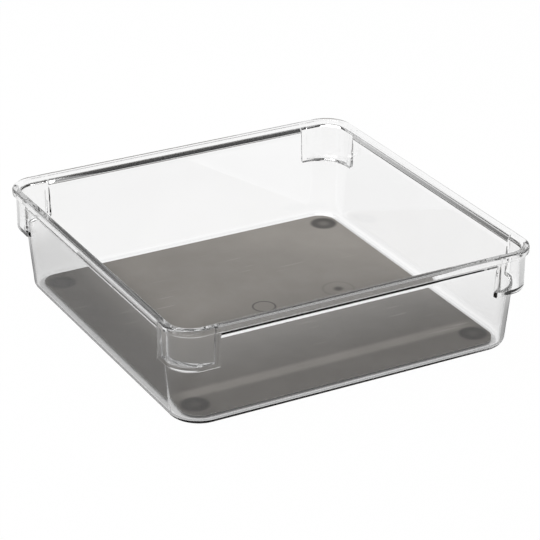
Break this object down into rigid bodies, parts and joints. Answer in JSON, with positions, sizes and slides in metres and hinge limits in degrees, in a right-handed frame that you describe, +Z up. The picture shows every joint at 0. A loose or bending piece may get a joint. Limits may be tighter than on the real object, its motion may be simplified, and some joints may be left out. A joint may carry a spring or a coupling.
{
  "type": "stackable drawer box",
  "caption": "Square clear plastic drawer box with a grey soft lining, non-slip feet and corner lugs that rest on the rim of the box below.",
  "frame": {"origin": "centre of the footprint, on the plane that the feet stand on", "axes": "+Z up, X and Y along the two pairs of walls; the wall seen broad in the picture faces -Y"},
  "size_m": [0.1524, 0.1524, 0.0427],
  "materials": {
    "tray": "clear polystyrene, mould-polished",
    "lining": "matt grey thermoplastic rubber",
    "foot": "matt dark grey rubber"
  },
  "bodies": {
    "root": {"tray": "tray", "lining": "lining", "foot_front_left": "foot", "foot_front_right": "foot", "foot_back_left": "foot", "foot_back_right": "foot"}
  },
  "joints": []
}
